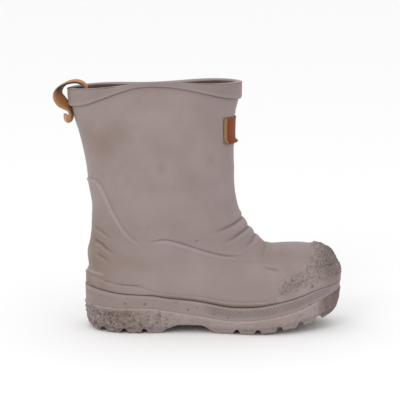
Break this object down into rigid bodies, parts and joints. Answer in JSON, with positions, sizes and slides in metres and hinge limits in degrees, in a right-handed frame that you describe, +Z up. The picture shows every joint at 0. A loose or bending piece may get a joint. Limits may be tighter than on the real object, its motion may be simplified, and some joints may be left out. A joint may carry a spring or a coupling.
{
  "type": "rubber boot",
  "caption": "Child's pull-on rubber boot for the right foot with a lugged sole, rough toe cap, arched collar band, leather pull loop and leather label.",
  "frame": {"origin": "on the floor under the middle of the heel, on the flat middle lug", "axes": "+X towards the toe, +Y towards the inner side of the right foot, +Z up"},
  "size_m": [0.2165, 0.0807, 0.1902],
  "materials": {
    "upper_rubber": "matt natural rubber, warm grey",
    "sole_rubber": "matt speckled rubber, worn and dusty",
    "lining_fabric": "brown cotton lining",
    "strap_leather": "vegetable tanned leather, satin",
    "label_leather": "red-brown leather, worn"
  },
  "bodies": {
    "root": {"upper": "upper_rubber", "toe_cap": "sole_rubber", "collar_band": "upper_rubber", "midsole": "sole_rubber", "outsole": "sole_rubber", "insole": "lining_fabric", "pull_loop": "strap_leather", "label": "label_leather"}
  },
  "joints": []
}
